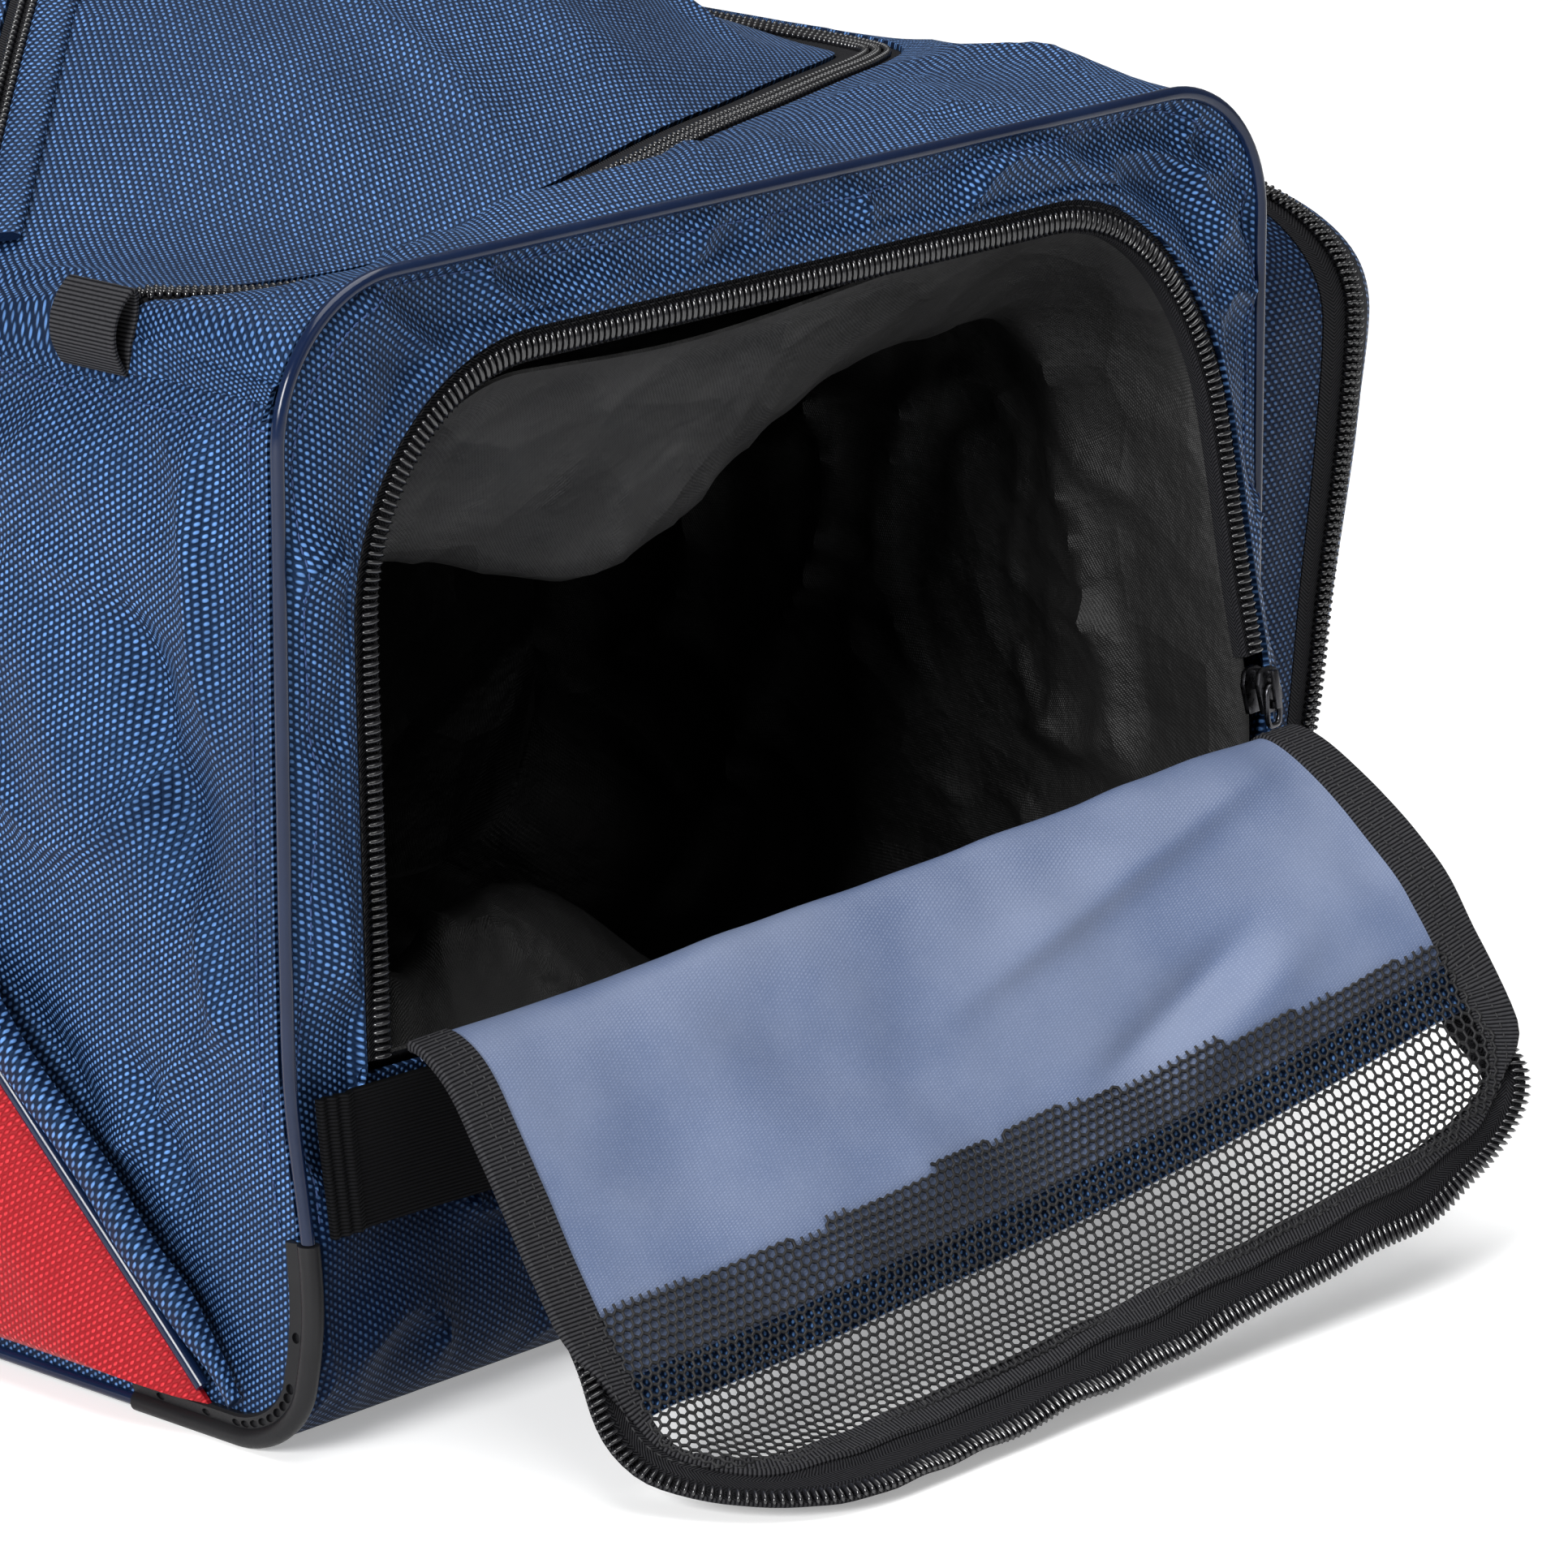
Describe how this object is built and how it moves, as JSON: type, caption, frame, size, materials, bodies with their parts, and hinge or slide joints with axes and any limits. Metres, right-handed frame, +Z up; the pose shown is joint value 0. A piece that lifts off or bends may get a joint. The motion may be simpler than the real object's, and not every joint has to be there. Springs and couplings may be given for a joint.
{
  "type": "wheeled bag",
  "caption": "Soft box-shaped wheeled sports holdall with a domed zipped lid, a zipped side pocket and a lined end pocket whose D-shaped door hangs open.",
  "frame": {"origin": "middle of the flat base, on the floor", "axes": "+Z up, +Y along the bag from the pocket end to the wheeled end, +X to the side with the deep pocket"},
  "size_m": [0.5275, 1.0379, 0.3871],
  "materials": {
    "navy_weave": "satin weave",
    "navy_piping": "glossy",
    "black_webbing": "ribbed weave",
    "black_zip": "satin",
    "black_lining": "soft sheen",
    "black_net": "matt net",
    "black_rubber": "moulded",
    "coated_blue": "coated cloth",
    "red_weave": "satin weave",
    "dark_metal": "dark nickel",
    "grey_plastic": "moulded",
    "steel": "plain",
    "tyre": "matt"
  },
  "bodies": {
    "bag": {"end_panel": "navy_weave", "far_end_panel": "navy_weave", "side_left": "navy_weave", "side_right": "navy_weave", "top_rim": "navy_weave", "lid": "navy_weave", "lid_pocket": "navy_weave", "right_pocket_gusset": "navy_weave", "right_pocket_face": "navy_weave", "left_accent_edge": "navy_weave", "front_piping": "navy_piping", "back_piping": "navy_piping", "base_piping_left": "navy_piping", "base_piping_right": "navy_piping", "left_accent_piping": "navy_piping", "end_webbing": "black_webbing", "zip_loop": "black_webbing", "door_binding": "black_webbing", "lid_zip": "black_zip", "lid_pocket_zip": "black_zip", "end_zip": "black_zip", "door_zip": "black_zip", "right_pocket_zip": "black_zip", "pocket_lining": "black_lining", "door_mesh": "black_net", "base_panel": "black_rubber", "corner_guard_front_left": "black_rubber", "corner_guard_front_right": "black_rubber", "corner_guard_back_left": "black_rubber", "corner_guard_back_right": "black_rubber", "wheel_housing_left": "black_rubber", "wheel_housing_right": "black_rubber", "door_panel": "coated_blue", "left_accent_panel": "red_weave", "end_zip_slider": "dark_metal", "wheel_axle_left": "steel", "wheel_axle_right": "steel"},
    "wheel_left": {"wheel_hub_left": "grey_plastic", "wheel_tyre_left": "tyre"},
    "wheel_right": {"wheel_hub_right": "grey_plastic", "wheel_tyre_right": "tyre"}
  },
  "joints": [
    {"name": "wheel_left_spin", "type": "hinge", "parent": "bag", "child": "wheel_left", "pos_m": [-0.155, 0.446, 0.0408], "axis": [1, 0, 0], "continuous": true},
    {"name": "wheel_right_spin", "type": "hinge", "parent": "bag", "child": "wheel_right", "pos_m": [0.155, 0.446, 0.0408], "axis": [1, 0, 0], "continuous": true}
  ]
}
